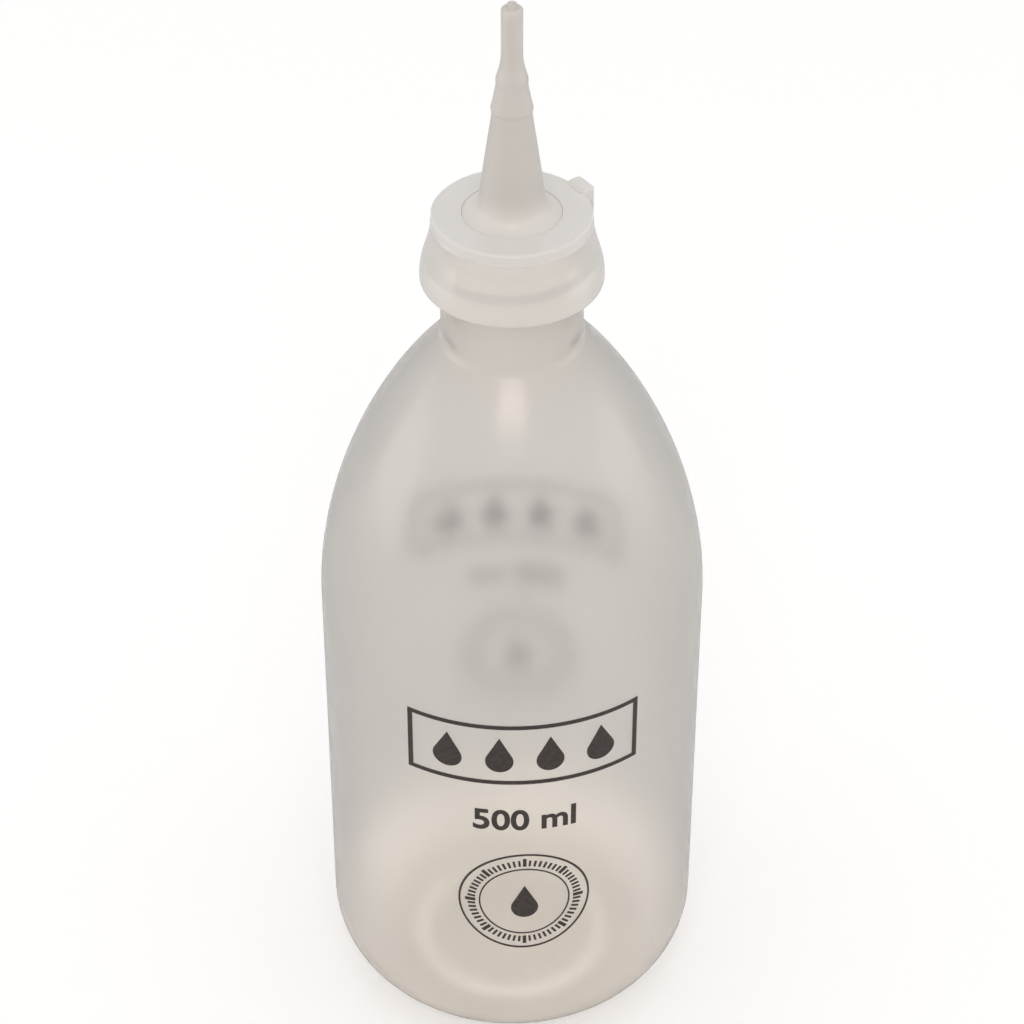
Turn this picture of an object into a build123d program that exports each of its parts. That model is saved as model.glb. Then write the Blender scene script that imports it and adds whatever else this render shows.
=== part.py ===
"""Half-litre squeeze bottle with a straight spout: blown bottle, screw cap, spout insert and printed marks.

Millimetres, +Z up. The origin is the centre of the flat ring that the bottle stands on, and the bottle's
axis is +Z. The side with the main print faces -Y.
"""
from build123d import *
import math
import os

# Bottle body
body_diameter = 75.0
body_wall = 1.0
heel_width = 17.0
heel_height = 16.5
standing_ring_width = 2.6
push_up_depth = 3.2
straight_height = 96.5
shoulder_height = 60.4
shoulder_rise = 23.5
shoulder_reach = 12.9
shoulder_drop = 13.0

# Neck
neck_diameter = 26.5
neck_wall = 1.7
neck_height = 23.3
neck_root_fillet = 2.0
lip_height = 3.0
lip_inset = 0.6
lip_chamfer = 0.4

# Spout insert
flange_diameter = 25.0
flange_thickness = 1.6
seat_diameter = 17.8
foot_diameter = 13.1
foot_fillet = 2.2
cone_length = 20.8
cone_end_diameter = 7.2
bead_height = 1.8
bead_proud = 0.25
upper_cone_length = 3.6
upper_cone_end_diameter = 5.8
band_height = 1.5
taper_length = 5.3
tip_diameter = 3.9
tip_length = 8.6
tip_chamfer = 0.4
nub_diameter = 1.7
nub_height = 0.8
spout_wall = 1.1
tip_bore_diameter = 1.9
tip_closed_length = 1.6

# Screw cap
cap_height = 14.3
cap_top_diameter = 29.4
cap_top_chamfer = 0.4
collar_height = 2.2
collar_step = 0.15
collar_slope = 0.4
rim_diameter = 33.9
rim_band_height = 1.4
rim_rounding = 0.9
skirt_wall = 1.6
plate_thickness = 1.65
flare_lower_handle = 3.8
flare_upper_handle = 3.7
hole_chamfer = 0.15

# Lug on the cap's collar
lug_azimuth = 34.0
lug_width = 5.2
lug_proud = 2.1
lug_root = 1.2
lug_above_cap = 0.7
lug_height = 6.7
lug_corner = 1.2
lug_top_chamfer = 0.6

# Clearances between pieces that move apart
seat_gap = 0.05
hole_clearance = 0.1

# Printed marks, with widths as seen square on from the front
ink_thickness = 0.12
ink_lift = 0.02
front_print_azimuth = 3.8
rear_print_azimuth = 178.0
panel_width = 44.0
panel_height = 15.0
panel_centre_height = 85.0
panel_line = 0.9
drop_count = 4
drop_pitch = 9.8
drop_length = 8.6
drop_width = 5.4
seal_diameter = 26.0
seal_centre_height = 45.7
seal_line = 0.4
seal_drop_length = 8.6
seal_drop_width = 5.4
tick_count = 8
tick_length = 2.0
tick_width = 0.7
tick_gap = 0.9

# Radii and heights that follow from the sizes above
body_radius = body_diameter / 2
foot_radius = body_radius - heel_width
push_up_radius = foot_radius - standing_ring_width
neck_radius = neck_diameter / 2
neck_root = straight_height + shoulder_height
neck_rim = neck_root + neck_height
plate_bottom = neck_rim + flange_thickness + seat_gap
cap_top = plate_bottom + plate_thickness
cap_bottom = cap_top - cap_height
flare_bottom = cap_bottom + rim_band_height
flare_top = cap_top - collar_height
cap_top_radius = cap_top_diameter / 2
seat_radius = seat_diameter / 2
hole_radius = seat_radius + hole_clearance

# How close a circle's radius and height must be to the ones asked for
match = 0.01

# Length of a quarter round's handles, as a share of its radius
round_handle = 0.5523


def heights(start, *steps):
    """Running heights of a turned profile, each step above the one before."""
    levels = [start]
    for step in steps:
        levels.append(levels[-1] + step)
    return levels


def circle_at(builder, radius, height):
    """Edges of a turned part that are circles of one radius at one height."""
    circles = builder.edges().filter_by(GeomType.CIRCLE)
    return circles.filter_by(
        lambda edge: abs(edge.radius - radius) < match and abs(edge.arc_center.Z - height) < match
    )


def rounded_corner(start, corner, end):
    """Draw a quarter round from start to end, tangent to the two lines that meet at corner."""
    start, corner, end = Vector(start), Vector(corner), Vector(end)
    Bezier(start, start + (corner - start) * round_handle, end + (corner - end) * round_handle, end)


def base_to_shoulder(inset):
    """Draw the body's half section from the axis to the end of the shoulder, moved inwards by inset."""
    side = body_radius - inset
    slope = math.hypot(shoulder_reach, shoulder_drop)
    end = (
        neck_radius - inset * shoulder_drop / slope,
        neck_root - inset * shoulder_reach / slope,
    )
    dome_end = (push_up_radius, inset)
    heel_start = (foot_radius, inset)
    heel_end = (side, heel_height)
    wall_end = (side, straight_height)
    TangentArc((0, push_up_depth + inset), dome_end, tangent=(1, 0))
    Line(dome_end, heel_start)
    rounded_corner(heel_start, (side, inset), heel_end)
    Line(heel_end, wall_end)
    Bezier(
        wall_end,
        (side, straight_height + shoulder_rise),
        (end[0] + shoulder_reach, end[1] - shoulder_drop),
        end,
    )
    return end


def flare(inset):
    """Draw the cap's flared wall from its rim to its collar, moved inwards by inset, and return its ends."""
    rim = rim_diameter / 2 - inset
    collar = cap_top_radius + collar_step - inset
    Bezier(
        (rim, flare_bottom),
        (rim, flare_bottom + flare_lower_handle),
        (collar, flare_top - flare_upper_handle),
        (collar, flare_top),
    )
    return (rim, flare_bottom), (collar, flare_top)


def drop(length, width):
    """Add a drop to the current sketch, point upwards, its round end centred on the current location."""
    radius = width / 2
    reach = length - radius
    lean = math.acos(radius / reach)
    side = radius * math.sin(lean)
    shoulder = radius * math.cos(lean)
    Circle(radius)
    Polygon((side, shoulder), (0, reach), (-side, shoulder), align=None)


# Blown bottle: push-up, standing ring, heel, straight wall, shoulder and neck in one shell
with BuildPart() as bottle:
    with BuildSketch(Plane.XZ):
        with BuildLine():
            shoulder_end = base_to_shoulder(0)
            lip_radius = neck_radius - lip_inset
            Polyline(
                shoulder_end,
                (neck_radius, neck_rim - lip_height),
                (lip_radius, neck_rim - lip_height + lip_inset),
                (lip_radius, neck_rim),
                (0, neck_rim),
                (0, push_up_depth),
            )
        make_face()
        with BuildLine():
            shoulder_end = base_to_shoulder(body_wall)
            bore_radius = neck_radius - neck_wall
            run_in = shoulder_end[0] - bore_radius
            Polyline(
                shoulder_end,
                (bore_radius, shoulder_end[1] + run_in * shoulder_drop / shoulder_reach),
                (bore_radius, neck_rim),
                (0, neck_rim),
                (0, push_up_depth + body_wall),
            )
        make_face(mode=Mode.SUBTRACT)
    revolve(axis=Axis.Z)
    rim_face = bottle.faces().filter_by(Plane.XY).sort_by(Axis.Z)[-1]
    chamfer(rim_face.edges(), lip_chamfer)
    fillet(circle_at(bottle, neck_radius, neck_root), neck_root_fillet)
bottle.part.label = "bottle"

# Spout insert: flange under the cap, seat in the cap's hole, hollow cone, bead, band and closed tip
with BuildPart() as spout:
    levels = heights(
        cap_top, cone_length, bead_height, upper_cone_length, band_height, taper_length, tip_length
    )
    cone_end, bead_end, upper_end, band_end, taper_end, tip_end = levels[1:]
    foot_r = foot_diameter / 2
    cone_r = cone_end_diameter / 2
    upper_r = upper_cone_end_diameter / 2
    tip_r = tip_diameter / 2
    bore_r = tip_bore_diameter / 2
    nub_top = tip_end + nub_height
    foot_start = (foot_r + foot_fillet, cap_top)
    foot_end = (foot_r + (cone_r - foot_r) * foot_fillet / cone_length, cap_top + foot_fillet)
    with BuildSketch(Plane.XZ):
        with BuildLine():
            Polyline(
                (0, neck_rim),
                (flange_diameter / 2, neck_rim),
                (flange_diameter / 2, neck_rim + flange_thickness),
                (seat_radius, neck_rim + flange_thickness),
                (seat_radius, cap_top),
                foot_start,
            )
            rounded_corner(foot_start, (foot_r, cap_top), foot_end)
            Line(foot_end, (cone_r, cone_end))
            Polyline(
                (cone_r, cone_end),
                (cone_r + bead_proud, cone_end + bead_height / 2),
                (cone_r, bead_end),
                (upper_r, upper_end),
                (upper_r, band_end),
            )
            Bezier(
                (upper_r, band_end),
                ((upper_r + tip_r) / 2, band_end + taper_length / 3),
                (tip_r, band_end + taper_length / 2),
                (tip_r, taper_end),
            )
            Polyline(
                (tip_r, taper_end),
                (tip_r, tip_end - tip_chamfer),
                (tip_r - tip_chamfer, tip_end),
                (nub_diameter / 2, tip_end),
                (nub_diameter / 2, nub_top),
                (0, nub_top),
                (0, neck_rim),
            )
        make_face()
        with BuildLine():
            Polyline(
                (0, neck_rim),
                (foot_r - spout_wall, neck_rim),
                (foot_r - spout_wall, cap_top),
                (cone_r - spout_wall, cone_end),
                (bore_r, band_end),
                (bore_r, tip_end - tip_closed_length),
                (0, tip_end - tip_closed_length),
                (0, neck_rim),
            )
        make_face(mode=Mode.SUBTRACT)
    revolve(axis=Axis.Z)
spout.part.label = "spout"

# Screw cap: plate with a hole, collar, flared skirt and a lug on the collar
with BuildPart() as screw_cap:
    with BuildSketch(Plane.XZ):
        with BuildLine():
            outer_rim, outer_collar = flare(0)
            inner_rim, inner_collar = flare(skirt_wall)
            lip_start = (outer_rim[0] - rim_rounding, cap_bottom)
            lip_end = (outer_rim[0], cap_bottom + rim_rounding)
            Polyline(
                outer_collar,
                (cap_top_radius, flare_top + collar_slope),
                (cap_top_radius, cap_top - cap_top_chamfer),
                (cap_top_radius - cap_top_chamfer, cap_top),
                (hole_radius + hole_chamfer, cap_top),
                (hole_radius, cap_top - hole_chamfer),
                (hole_radius, plate_bottom),
                (inner_collar[0], plate_bottom),
                inner_collar,
            )
            Polyline(inner_rim, (inner_rim[0], cap_bottom), lip_start)
            rounded_corner(lip_start, (outer_rim[0], cap_bottom), lip_end)
            Line(lip_end, outer_rim)
        make_face()
    revolve(axis=Axis.Z)
    lug_depth = lug_root + lug_proud
    lug_middle = cap_top_radius - lug_root + lug_depth / 2
    lug_bottom = cap_top + lug_above_cap - lug_height
    with BuildSketch(Plane.XY.offset(lug_bottom)):
        with PolarLocations(lug_middle, 1, start_angle=lug_azimuth):
            RectangleRounded(lug_depth, lug_width, lug_corner)
    extrude(amount=lug_height)
    chamfer(screw_cap.faces().filter_by(Plane.XY).sort_by(Axis.Z)[-1].edges(), lug_top_chamfer)
screw_cap.part.label = "screw_cap"


def drop_panel():
    """Draw a plain frame round a row of drops."""
    inner_width = panel_width - 2 * panel_line
    inner_height = panel_height - 2 * panel_line
    with Locations((0, panel_centre_height)):
        Rectangle(panel_width, panel_height)
        Rectangle(inner_width, inner_height, mode=Mode.SUBTRACT)
    with Locations((0, panel_centre_height - (drop_length - drop_width) / 2)):
        with GridLocations(drop_pitch, 0, drop_count, 1):
            drop(drop_length, drop_width)


def tick_seal():
    """Draw a ring with ticks inside it and one drop in the middle."""
    tick_radius = seal_diameter / 2 - seal_line - tick_gap - tick_length / 2
    with Locations((0, seal_centre_height)):
        Circle(seal_diameter / 2)
        Circle(seal_diameter / 2 - seal_line, mode=Mode.SUBTRACT)
        with PolarLocations(tick_radius, tick_count):
            Rectangle(tick_length, tick_width)
    with Locations((0, seal_centre_height - (seal_drop_length - seal_drop_width) / 2)):
        drop(seal_drop_length, seal_drop_width)


def print_plane(azimuth):
    """Upright plane through the bottle's axis that faces the print's side, X along the print."""
    turn = math.radians(azimuth)
    return Plane(
        origin=(0, 0, 0),
        x_dir=(math.cos(turn), math.sin(turn), 0),
        z_dir=(math.sin(turn), -math.cos(turn), 0),
    )


os.makedirs("parts", exist_ok=True)

# Printed marks: the same thin ink shapes lie on the front and on the rear of the straight wall
for name, azimuth in (("front_print", front_print_azimuth), ("rear_print", rear_print_azimuth)):
    ink_radius = body_radius + ink_lift
    with BuildPart() as marks:
        with BuildSketch(print_plane(azimuth)):
            drop_panel()
            tick_seal()
        extrude(amount=body_diameter)
        with BuildSketch(Plane.XY.offset(heel_height)):
            Circle(ink_radius + ink_thickness)
            Circle(ink_radius, mode=Mode.SUBTRACT)
        extrude(amount=straight_height - heel_height, mode=Mode.INTERSECT)
    marks.part.label = name
    export_step(marks.part, f"parts/{name}.step")

export_step(bottle.part, "parts/bottle.step")
export_step(spout.part, "parts/spout.step")
export_step(screw_cap.part, "parts/screw_cap.step")
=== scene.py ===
"""Looks of the half-litre squeeze bottle: milky plastic, threads, ink, studio floor, lamps and camera.

Metres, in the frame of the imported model: +Z up, the bottle stands on z = 0 and its main print faces -Y.
"""

import math

import bmesh
import bpy
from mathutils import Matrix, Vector


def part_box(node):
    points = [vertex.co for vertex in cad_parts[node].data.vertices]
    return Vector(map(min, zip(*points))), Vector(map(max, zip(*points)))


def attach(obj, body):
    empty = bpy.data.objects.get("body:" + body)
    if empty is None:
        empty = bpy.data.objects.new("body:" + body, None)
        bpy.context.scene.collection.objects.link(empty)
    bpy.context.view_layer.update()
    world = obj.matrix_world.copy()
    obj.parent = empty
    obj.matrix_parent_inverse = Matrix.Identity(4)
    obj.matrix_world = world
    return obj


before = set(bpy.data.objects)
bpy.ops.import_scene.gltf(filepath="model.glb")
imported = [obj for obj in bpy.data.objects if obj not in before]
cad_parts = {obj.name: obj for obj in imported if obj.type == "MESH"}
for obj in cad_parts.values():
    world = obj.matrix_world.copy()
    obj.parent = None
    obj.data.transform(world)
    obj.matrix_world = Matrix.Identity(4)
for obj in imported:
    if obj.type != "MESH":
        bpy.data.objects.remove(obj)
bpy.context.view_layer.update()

MM = 0.001

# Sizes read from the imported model
BODY_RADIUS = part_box("bottle")[1].x
NECK_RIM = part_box("bottle")[1].z
CAP_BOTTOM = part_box("screw_cap")[0].z
CAP_TOP = CAP_BOTTOM + 14.3 * MM

# Inner faces: the bottle's look towards its middle, and the cap's lie under its plate or look towards the axis
BOTTLE_MIDDLE = Vector((0, 0, 100 * MM))
PLATE_DEPTH = 2 * MM
LEVEL_FACE = 0.9
AXIS_FACING = 0.5

# Wall thickness zones, as heights
# In the bottle the thick zones at base and neck also place a painted warm light, the light seen through them
BASE_THICK = 3 * MM
BASE_THIN = 22 * MM
NECK_THIN = 150 * MM
NECK_THICK = 160 * MM
SKIRT_THIN = NECK_RIM + 0.5 * MM
PLATE_THICK = NECK_RIM + 2.2 * MM
# Below CONE_THIN the spout's seat is painted lighter and more opaque, against the shade round the cone's foot
CONE_THIN = CAP_TOP + 7 * MM
NECK_SHARE = 0.6

# Threads: one right-hand screw, so that the cap's ridge follows the neck's as it turns
THREAD_RISE = 3.0 * MM
NECK_RADIUS = 13.25 * MM
NECK_CREST = 14.05 * MM
CAP_CREST = 13.5 * MM
THREAD_START = CAP_BOTTOM + 1.2 * MM
NECK_TURNS = 1.6
CAP_TURNS = 1.5
THREAD_ROOT_WIDTH = 1.15 * MM
THREAD_CREST_WIDTH = 0.5 * MM
THREAD_SINK = 0.15 * MM
THREAD_RUN_OUT = math.radians(35)
THREAD_STEP = math.radians(5)

# Ink that is too fine for the solids: the capacity's lettering and the small marks of the seal
FRONT_AZIMUTH = math.radians(3.8)
REAR_AZIMUTH = math.radians(178.0)
INK_LIFT = 0.03 * MM
INK_THICKNESS = 0.1 * MM
INK_SLICE = 1.0 * MM
LETTER_BASE = 65.3 * MM
LETTER_HEIGHT = 5.4 * MM
LETTER_WIDTH = 20.0 * MM
LETTER_BOLD = 0.022
SEAL_HEIGHT = 45.7 * MM
SEAL_TICKS = 8
SEAL_TICK_RADIUS = 10.5 * MM
SEAL_MINOR_TICKS = 7
MINOR_TICK_LENGTH = 1.5 * MM
MINOR_TICK_WIDTH = 0.45 * MM
SEAL_INNER_RADIUS = 8.7 * MM
SEAL_INNER_LINE = 0.3 * MM
RING_SEGMENTS = 96
WELD = 1e-5

# Bead between the spout's seat and the cap's hole, as radii and heights round its section
SEAT_BEAD = (
    (8.85 * MM, CAP_TOP - 0.3 * MM),
    (8.98 * MM, CAP_TOP - 0.3 * MM),
    (8.98 * MM, CAP_TOP - 0.16 * MM),
    (9.11 * MM, CAP_TOP - 0.03 * MM),
    (9.04 * MM, CAP_TOP + 0.03 * MM),
    (8.85 * MM, CAP_TOP + 0.01 * MM),
)

# Materials: the part of a noise's range that they use, and how much it changes them
NOISE_LOW = 0.3
NOISE_HIGH = 0.7
COLOUR_DRIFT = (0.975, 1.0)
CLEAR_DRIFT = (-0.03, 0.02)
ROUGHNESS_DRIFT = 0.03
COAT_IOR = 1.5

# Studio levels: the world's white, what the floor adds where the camera sees it, and painted light: the floor's
# glow seen through the bottle, strong under it and faint behind it
WORLD_LEVEL = 0.77
FLOOR_GLOW = 0.33
PAINTED_BEHIND_GLOW = 0.08
PAINTED_UNDER_GLOW = 0.5
UNDER_REACH = 0.9 * BODY_RADIUS
BEHIND_REACH = 1.6 * BODY_RADIUS
FLOOR_GREY = 0.8
FLOOR_HALF = 8.0

# Camera, fitted to the photograph's perspective
CAMERA_PLACE = (0.0, -0.478125, 0.494901)
CAMERA_DOWN = math.radians(38.52)
CAMERA_LENS = 110.99
SENSOR_WIDTH = 36.0

SHARP_ANGLE = math.radians(28)


class Shader:
    """A material whose surface is one Principled shader, with short ways to feed its sockets."""

    def __init__(self, name):
        self.material = bpy.data.materials.new(name)
        self.material.use_nodes = True
        self.tree = self.material.node_tree
        self.skin = self.tree.nodes["Principled BSDF"]

    def add(self, kind, **settings):
        node = self.tree.nodes.new(kind)
        for name, value in settings.items():
            setattr(node, name, value)
        return node

    def join(self, source, target):
        self.tree.links.new(source, target)

    def set(self, **numbers):
        """Constants on the shader's own sockets; an underscore stands for a space."""
        for name, value in numbers.items():
            self.skin.inputs[name.replace("_", " ")].default_value = value

    def feed(self, socket, source):
        self.join(source, self.skin.inputs[socket])

    def height(self):
        """The height above the floor, as every piece has the model's own frame."""
        split = self.add("ShaderNodeSeparateXYZ")
        self.join(self.add("ShaderNodeTexCoord").outputs["Object"], split.inputs[0])
        return split.outputs["Z"]

    def noise(self, cells, detail=2.0, stretch=(1, 1, 1)):
        """Noise round 0.5, with so many cells to the metre."""
        place = self.add("ShaderNodeMapping")
        place.inputs["Scale"].default_value = stretch
        self.join(self.add("ShaderNodeTexCoord").outputs["Object"], place.inputs[0])
        noise = self.add("ShaderNodeTexNoise")
        noise.inputs["Scale"].default_value = cells
        noise.inputs["Detail"].default_value = detail
        self.join(place.outputs[0], noise.inputs["Vector"])
        return noise.outputs[0]

    def ramp(self, value, low, high, at_low, at_high):
        """A smooth change from at_low to at_high as value goes from low to high."""
        node = self.add("ShaderNodeMapRange", interpolation_type="SMOOTHSTEP")
        for socket, number in zip(node.inputs[1:5], (low, high, at_low, at_high)):
            socket.default_value = number
        self.join(value, node.inputs["Value"])
        return node.outputs[0]

    def vary(self, noise, low, high):
        """A value that wanders with a noise between low and high."""
        return self.ramp(noise, NOISE_LOW, NOISE_HIGH, low, high)

    def maths(self, operation, a, b):
        node = self.add("ShaderNodeMath", operation=operation)
        self.join(a, node.inputs[0])
        self.join(b, node.inputs[1])
        return node.outputs[0]

    def blend(self, factor, at_zero, at_one):
        """A colour between two."""
        node = self.add("ShaderNodeMix", data_type="RGBA")
        self.join(factor, node.inputs["Factor"])
        node.inputs[6].default_value = (*at_zero, 1)
        node.inputs[7].default_value = (*at_one, 1)
        return node.outputs[2]

    def shade(self, colour, factor):
        """A colour times a factor."""
        node = self.add("ShaderNodeVectorMath", operation="SCALE")
        self.join(colour, node.inputs[0])
        self.join(factor, node.inputs["Scale"])
        return node.outputs[0]

    def bump(self, height, distance):
        """Normals of a surface that a height from 0 to 1 raises by up to distance."""
        node = self.add("ShaderNodeBump")
        node.inputs["Distance"].default_value = distance
        self.join(height, node.inputs["Height"])
        return node.outputs[0]


def bottle_thickness_and_warm_light(shader):
    """How thick the blown wall is, 1 at the base, more than half in the neck, 0 between them; where it is thick the
    tint is warmer and lighter, a painted warm light seen through base and neck.
    """
    z = shader.height()
    base = shader.ramp(z, BASE_THICK, BASE_THIN, 1, 0)
    neck = shader.ramp(z, NECK_THIN, NECK_THICK, 0, NECK_SHARE)
    return shader.maths("MAXIMUM", base, neck)


def cap_share(shader):
    """How thick the cap is: 0 in the skirt and 1 in the plate."""
    return shader.ramp(shader.height(), SKIRT_THIN, PLATE_THICK, 0, 1)


def spout_thickness_and_seat_lightening(shader):
    """How thick the spout is, and where its seat is painted lighter and more opaque against the shade round the
    cone's foot: 1 in the seat and 0 in the cone above it.
    """
    return shader.ramp(shader.height(), CAP_TOP, CONE_THIN, 1, 0)


def milky(
    name, share, thin, thick, clear, roughness, ior, coat=0.0, coat_roughness=0.22, swell=0.3, cells=30,
    stretch=(1, 1, 0.4),
):
    """Natural polyethylene: a milky skin over a blurred view through the wall.

    share tells where the wall is thick, thin and thick are its colours there, and clear is how much of the view
    passes a thin and a thick wall. The roughness with its drift stays on one side of 0.27, because the denoiser
    treats surfaces under and over that differently, and a mixture shows as patches.
    """
    shader = Shader(name)
    depth = share(shader)
    uneven = shader.noise(cells, 2, stretch)
    colour = shader.blend(depth, thin, thick)
    shader.feed("Base Color", shader.shade(colour, shader.vary(uneven, *COLOUR_DRIFT)))
    passed = shader.ramp(depth, 0, 1, *clear)
    drift = shader.vary(uneven, *CLEAR_DRIFT)
    shader.feed("Transmission Weight", shader.maths("ADD", passed, drift))
    fine = shader.noise(4 * cells, 3)
    shader.feed("Roughness", shader.vary(fine, roughness, roughness + ROUGHNESS_DRIFT))
    shader.feed("Normal", shader.bump(shader.noise(cells, 1, stretch), swell * MM))
    shader.set(IOR=ior, Coat_Weight=coat, Coat_Roughness=coat_roughness, Coat_IOR=COAT_IOR)
    return shader.material


def printing_ink():
    """Dark screen-printing ink, a little uneven where it lies thin."""
    shader = Shader("printing_ink")
    thin = shader.ramp(shader.noise(1400, 3), 0.35, 0.7, 0, 1)
    shader.feed("Base Color", shader.blend(thin, (0.030, 0.022, 0.020), (0.050, 0.038, 0.034)))
    shader.feed("Roughness", shader.vary(shader.noise(2500, 2), 0.42, 0.58))
    return shader.material


def inside_bottle(face):
    return face.normal.dot(BOTTLE_MIDDLE - face.center) > 0


def inside_cap(face):
    under_plate = face.normal.z < -LEVEL_FACE and face.center.z > CAP_TOP - PLATE_DEPTH
    facing_axis = face.normal.xy.dot(face.center.xy) < -AXIS_FACING * face.center.xy.length
    return under_plate or (facing_axis and face.center.z < CAP_TOP)


def dress(node, outer, inner=None, is_inside=None):
    """Give a carried-over piece smooth shading and its material, and its inner faces one of their own."""
    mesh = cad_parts[node].data
    mesh.materials.clear()
    mesh.materials.append(outer)
    if inner:
        mesh.materials.append(inner)
        for face in mesh.polygons:
            face.material_index = int(is_inside(face))
    mesh.shade_smooth()
    mesh.set_sharp_from_angle(angle=SHARP_ANGLE)


def new_piece(name, shape, made, body):
    """A new piece of the object, from a bmesh, that moves with a body."""
    bmesh.ops.recalc_face_normals(shape, faces=shape.faces)
    mesh = bpy.data.meshes.new(name)
    shape.to_mesh(mesh)
    shape.free()
    mesh.shade_smooth()
    mesh.set_sharp_from_angle(angle=SHARP_ANGLE)
    mesh.materials.append(made)
    piece = bpy.data.objects.new(name, mesh)
    bpy.context.scene.collection.objects.link(piece)
    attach(piece, body)


def circle(radius):
    """Points round a circle."""
    turns = [math.tau * i / RING_SEGMENTS for i in range(RING_SEGMENTS)]
    return [(radius * math.cos(turn), radius * math.sin(turn)) for turn in turns]


def join_loops(shape, loops):
    """Faces that join closed loops of vertices, each to the next and the last to the first."""
    for a, b in zip(loops, loops[1:] + loops[:1]):
        for i in range(RING_SEGMENTS):
            j = (i + 1) % RING_SEGMENTS
            shape.faces.new((a[i], a[j], b[j], b[i]))


def seat_bead():
    """A fine bead of the spout's plastic that fills the groove between its seat and the cap's hole."""
    shape = bmesh.new()
    join_loops(shape, [[shape.verts.new((x, y, z)) for x, y in circle(radius)] for radius, z in SEAT_BEAD])
    return shape


def neck_wall(z, azimuth):
    """Radius of the neck's outer wall, the same all over."""
    return NECK_RADIUS


def cap_wall(z, azimuth):
    """Radius of the cap's inner wall at a height, looking out from the axis."""
    out = Vector((math.cos(azimuth), math.sin(azimuth), 0))
    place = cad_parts["screw_cap"].ray_cast(Vector((0, 0, z)), out)[1]
    return math.hypot(place.x, place.y)


def thread(start, turns, wall, crest):
    """A helical ridge of trapezium section that grows out of a wall and fades out at both ends."""
    shape = bmesh.new()
    count = round(turns * math.tau / THREAD_STEP)
    sections = []
    for i in range(count + 1):
        azimuth = i * THREAD_STEP
        z = start + THREAD_RISE * azimuth / math.tau
        to_end = min(i, count - i) * THREAD_STEP
        grown = math.sin(min(to_end / THREAD_RUN_OUT, 1) * math.pi / 2)
        root = wall(z, azimuth)
        sink = math.copysign(THREAD_SINK, crest - root)
        foot = root - sink
        top = foot + (crest - foot) * grown
        corners = (
            (foot, -THREAD_ROOT_WIDTH / 2),
            (top, -THREAD_CREST_WIDTH / 2),
            (top, THREAD_CREST_WIDTH / 2),
            (foot, THREAD_ROOT_WIDTH / 2),
        )
        turn = math.cos(azimuth), math.sin(azimuth)
        sections.append([shape.verts.new((r * turn[0], r * turn[1], z + side)) for r, side in corners])
    for a, b in zip(sections, sections[1:]):
        for p in range(4):
            q = (p + 1) % 4
            shape.faces.new((a[p], a[q], b[q], b[p]))
    shape.faces.new(sections[0])
    shape.faces.new(sections[-1])
    return shape


def wrap(shape, azimuth):
    """Bend a flat shape, x across, y up and z from 0 to 1 through the ink, round the straight wall."""
    low = min(vert.co.x for vert in shape.verts)
    high = max(vert.co.x for vert in shape.verts)
    for i in range(1, math.ceil((high - low) / INK_SLICE)):
        everything = shape.verts[:] + shape.edges[:] + shape.faces[:]
        bmesh.ops.bisect_plane(shape, geom=everything, plane_co=(low + i * INK_SLICE, 0, 0), plane_no=(1, 0, 0))
    for vert in shape.verts:
        turn = azimuth + math.asin(vert.co.x / BODY_RADIUS)
        radius = BODY_RADIUS + INK_LIFT + vert.co.z * INK_THICKNESS
        vert.co = (radius * math.sin(turn), -radius * math.cos(turn), vert.co.y)
    return shape


def lettering(words):
    """Plain bold lettering, flat, scaled to its width and height and standing on its base line."""
    curve = bpy.data.curves.new("lettering", "FONT")
    curve.body = words
    curve.offset = LETTER_BOLD
    curve.extrude = 0.5
    written = bpy.data.objects.new("lettering", curve)
    bpy.context.scene.collection.objects.link(written)
    mesh = bpy.data.meshes.new_from_object(written.evaluated_get(bpy.context.evaluated_depsgraph_get()))
    bpy.data.objects.remove(written)
    shape = bmesh.new()
    shape.from_mesh(mesh)
    bmesh.ops.remove_doubles(shape, verts=shape.verts, dist=WELD)
    xs = [vert.co.x for vert in shape.verts]
    ys = [vert.co.y for vert in shape.verts]
    across = LETTER_WIDTH / (max(xs) - min(xs))
    up = LETTER_HEIGHT / (max(ys) - min(ys))
    middle = (max(xs) + min(xs)) / 2
    for vert in shape.verts:
        x, y, z = vert.co
        vert.co = ((x - middle) * across, LETTER_BASE + (y - min(ys)) * up, z + 0.5)
    return shape


def seal_marks():
    """The seal's fine marks, flat: a thin inner ring, and short ticks between the long ones."""
    shape = bmesh.new()
    outer = SEAL_INNER_RADIUS + SEAL_INNER_LINE
    section = (SEAL_INNER_RADIUS, 0), (outer, 0), (outer, 1), (SEAL_INNER_RADIUS, 1)
    join_loops(
        shape, [[shape.verts.new((x, SEAL_HEIGHT + y, z)) for x, y in circle(radius)] for radius, z in section],
    )
    steps = SEAL_TICKS * (SEAL_MINOR_TICKS + 1)
    for i in range(steps):
        if i % (SEAL_MINOR_TICKS + 1):
            tick = bmesh.ops.create_cube(shape, size=1)["verts"]
            turn = math.tau * i / steps
            along = Vector((math.cos(turn), math.sin(turn), 0))
            across = Vector((-math.sin(turn), math.cos(turn), 0))
            centre = along * SEAL_TICK_RADIUS + Vector((0, SEAL_HEIGHT, 0.5))
            for vert in tick:
                x, y, z = vert.co
                vert.co = centre + along * x * MINOR_TICK_LENGTH + across * y * MINOR_TICK_WIDTH + Vector((0, 0, z))
    return shape


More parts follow.
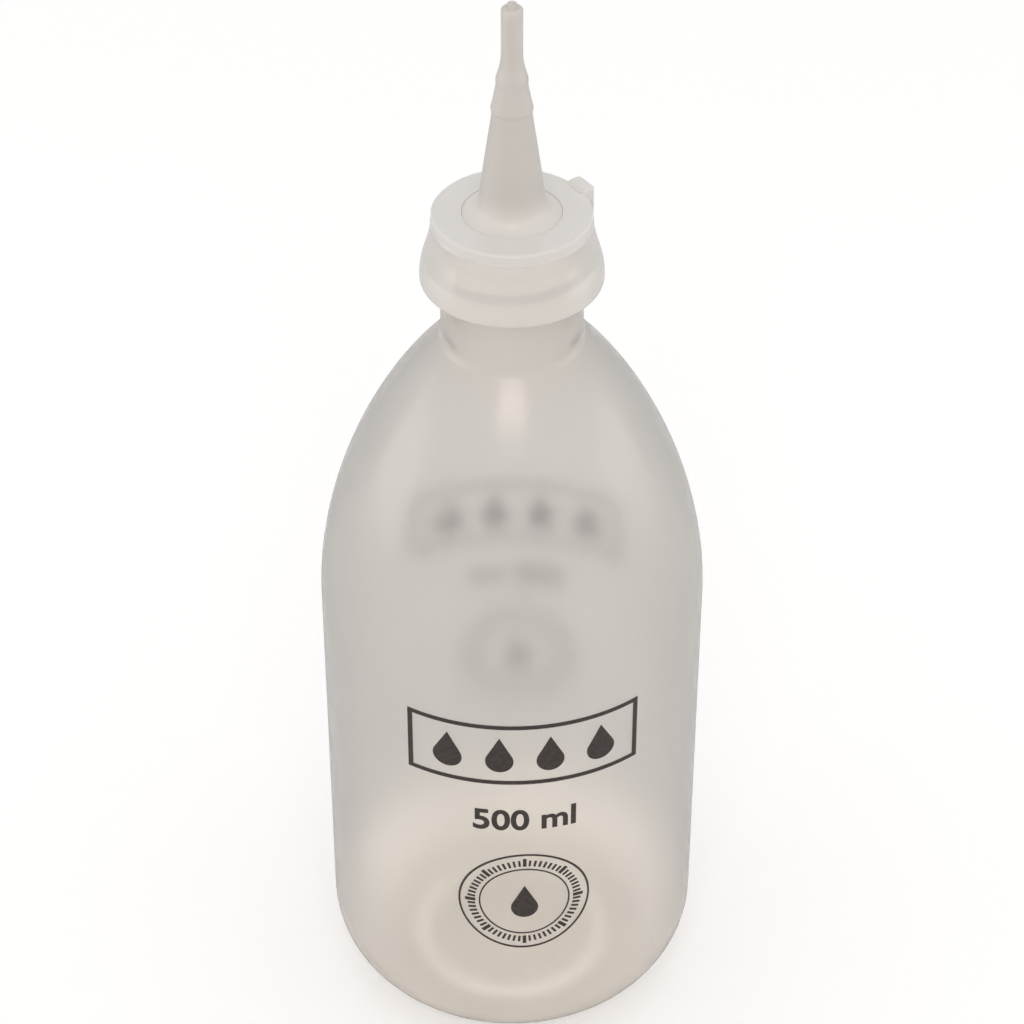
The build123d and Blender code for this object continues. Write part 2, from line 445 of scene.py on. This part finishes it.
def studio_floor():
    """White floor that keeps the object's shadow and shows white. It also carries painted light: for rays seen
    through the bottle it glows, most under the base.
    """
    corners = [(x * FLOOR_HALF, y * FLOOR_HALF, 0) for x, y in ((-1, -1), (1, -1), (1, 1), (-1, 1))]
    mesh = bpy.data.meshes.new("floor")
    mesh.from_pydata(corners, [], [(0, 1, 2, 3)])
    floor = bpy.data.objects.new("floor", mesh)
    bpy.context.scene.collection.objects.link(floor)
    shader = Shader("studio_white")
    rays = shader.add("ShaderNodeLightPath")
    far = shader.add("ShaderNodeVectorMath", operation="LENGTH")
    shader.join(shader.add("ShaderNodeTexCoord").outputs["Object"], far.inputs[0])
    # Painted light: a glow seen only through the bottle, strongest under its base and faint further out
    under = shader.ramp(far.outputs["Value"], UNDER_REACH, BEHIND_REACH, PAINTED_UNDER_GLOW, PAINTED_BEHIND_GLOW)
    through = shader.maths("MULTIPLY", rays.outputs["Is Transmission Ray"], under)
    seen = shader.add("ShaderNodeMath", operation="MULTIPLY_ADD")
    shader.join(rays.outputs["Is Camera Ray"], seen.inputs[0])
    seen.inputs[1].default_value = FLOOR_GLOW
    shader.join(through, seen.inputs[2])
    shader.feed("Emission Strength", seen.outputs[0])
    grey = (FLOOR_GREY, FLOOR_GREY, FLOOR_GREY, 1)
    shader.set(Base_Color=grey, Roughness=1.0, Specular_IOR_Level=0.0, Emission_Color=(1, 1, 1, 1))
    mesh.materials.append(shader.material)


def studio_world():
    """Even white light from all round."""
    world = bpy.data.worlds.new("studio")
    world.use_nodes = True
    background = world.node_tree.nodes["Background"]
    background.inputs["Color"].default_value = (1, 1, 1, 1)
    background.inputs["Strength"].default_value = WORLD_LEVEL
    bpy.context.scene.world = world


def lamp(name, place, target, width, height, watts, colour):
    """A soft rectangular lamp that faces target."""
    light = bpy.data.lights.new(name, "AREA")
    light.shape = "RECTANGLE"
    light.size = width
    light.size_y = height
    light.energy = watts
    light.color = colour
    made = bpy.data.objects.new(name, light)
    made.location = place
    made.rotation_euler = (Vector(target) - Vector(place)).to_track_quat("-Z", "Y").to_euler()
    bpy.context.scene.collection.objects.link(made)


def photograph_camera():
    """The photograph's viewpoint and frame."""
    data = bpy.data.cameras.new("camera")
    data.lens = CAMERA_LENS
    data.sensor_width = SENSOR_WIDTH
    camera = bpy.data.objects.new("camera", data)
    camera.location = CAMERA_PLACE
    camera.rotation_euler = (math.pi / 2 - CAMERA_DOWN, 0, 0)
    bpy.context.scene.collection.objects.link(camera)
    bpy.context.scene.camera = camera


# The outer faces are milky and the inner ones clear, so that a wall blurs the view through it only once
# The thick colours, warmer and lighter than the thin ones, are partly wall thickness and partly painted warm light
# at base and neck
body_skin = milky(
    "milky_body", bottle_thickness_and_warm_light, thin=(0.92, 0.89, 0.85), thick=(0.97, 0.90, 0.82), clear=(0.87, 0.80),
    roughness=0.33, ior=1.2, coat=1.0,
)
body_inside = milky(
    "clear_body_inside", bottle_thickness_and_warm_light, thin=(0.97, 0.965, 0.955), thick=(0.98, 0.94, 0.89), clear=(1, 1),
    roughness=0.2, ior=1.2, swell=0.8,
)
cap_skin = milky(
    "milky_cap", cap_share, thin=(0.90, 0.872, 0.83), thick=(0.86, 0.845, 0.815), clear=(0.3, 0.1),
    roughness=0.29, ior=1.4, coat=1.0, coat_roughness=0.12, swell=0.1, cells=120,
)
cap_inside = milky(
    "clear_cap_inside", cap_share, thin=(0.97, 0.96, 0.94), thick=(0.97, 0.96, 0.94), clear=(1, 1),
    roughness=0.22, ior=1.4, swell=0.1, cells=120,
)
# The seat's lighter, less clear colour is a painted lightening of the shade round the cone's foot
spout_skin = milky(
    "milky_spout", spout_thickness_and_seat_lightening, thin=(0.895, 0.87, 0.825), thick=(0.90, 0.88, 0.84), clear=(0.4, 0.15),
    roughness=0.3, ior=1.5, swell=0.1, cells=120,
)
ink = printing_ink()

dress("bottle", body_skin, body_inside, inside_bottle)
dress("screw_cap", cap_skin, cap_inside, inside_cap)
dress("spout", spout_skin)
dress("front_print", ink)
dress("rear_print", ink)

neck_ridge = thread(THREAD_START, NECK_TURNS, neck_wall, NECK_CREST)
cap_ridge = thread(THREAD_START + THREAD_RISE / 2, CAP_TURNS, cap_wall, CAP_CREST)
new_piece("neck_thread", neck_ridge, body_skin, "bottle_body")
new_piece("seat_bead", seat_bead(), spout_skin, "spout_body")
new_piece("cap_thread", cap_ridge, cap_skin, "cap_body")
for side, azimuth in (("front", FRONT_AZIMUTH), ("rear", REAR_AZIMUTH)):
    new_piece(f"{side}_capacity", wrap(lettering("500 ml"), azimuth), ink, "bottle_body")
    new_piece(f"{side}_seal_marks", wrap(seal_marks(), azimuth), ink, "bottle_body")

studio_floor()
studio_world()
lamp("key", (0, -0.80, 0.90), (0, 0, 0.15), width=0.5, height=0.28, watts=1.9, colour=(1.0, 0.78, 0.66))
lamp("left", (-0.80, 0, 0.15), (0, 0, 0.1), width=0.5, height=0.5, watts=0.8, colour=(1.0, 0.95, 0.88))
lamp("right", (0.80, 0, 0.15), (0, 0, 0.1), width=0.5, height=0.5, watts=0.6, colour=(1.0, 0.95, 0.88))
photograph_camera()
bpy.context.scene.view_settings.view_transform = "Standard"
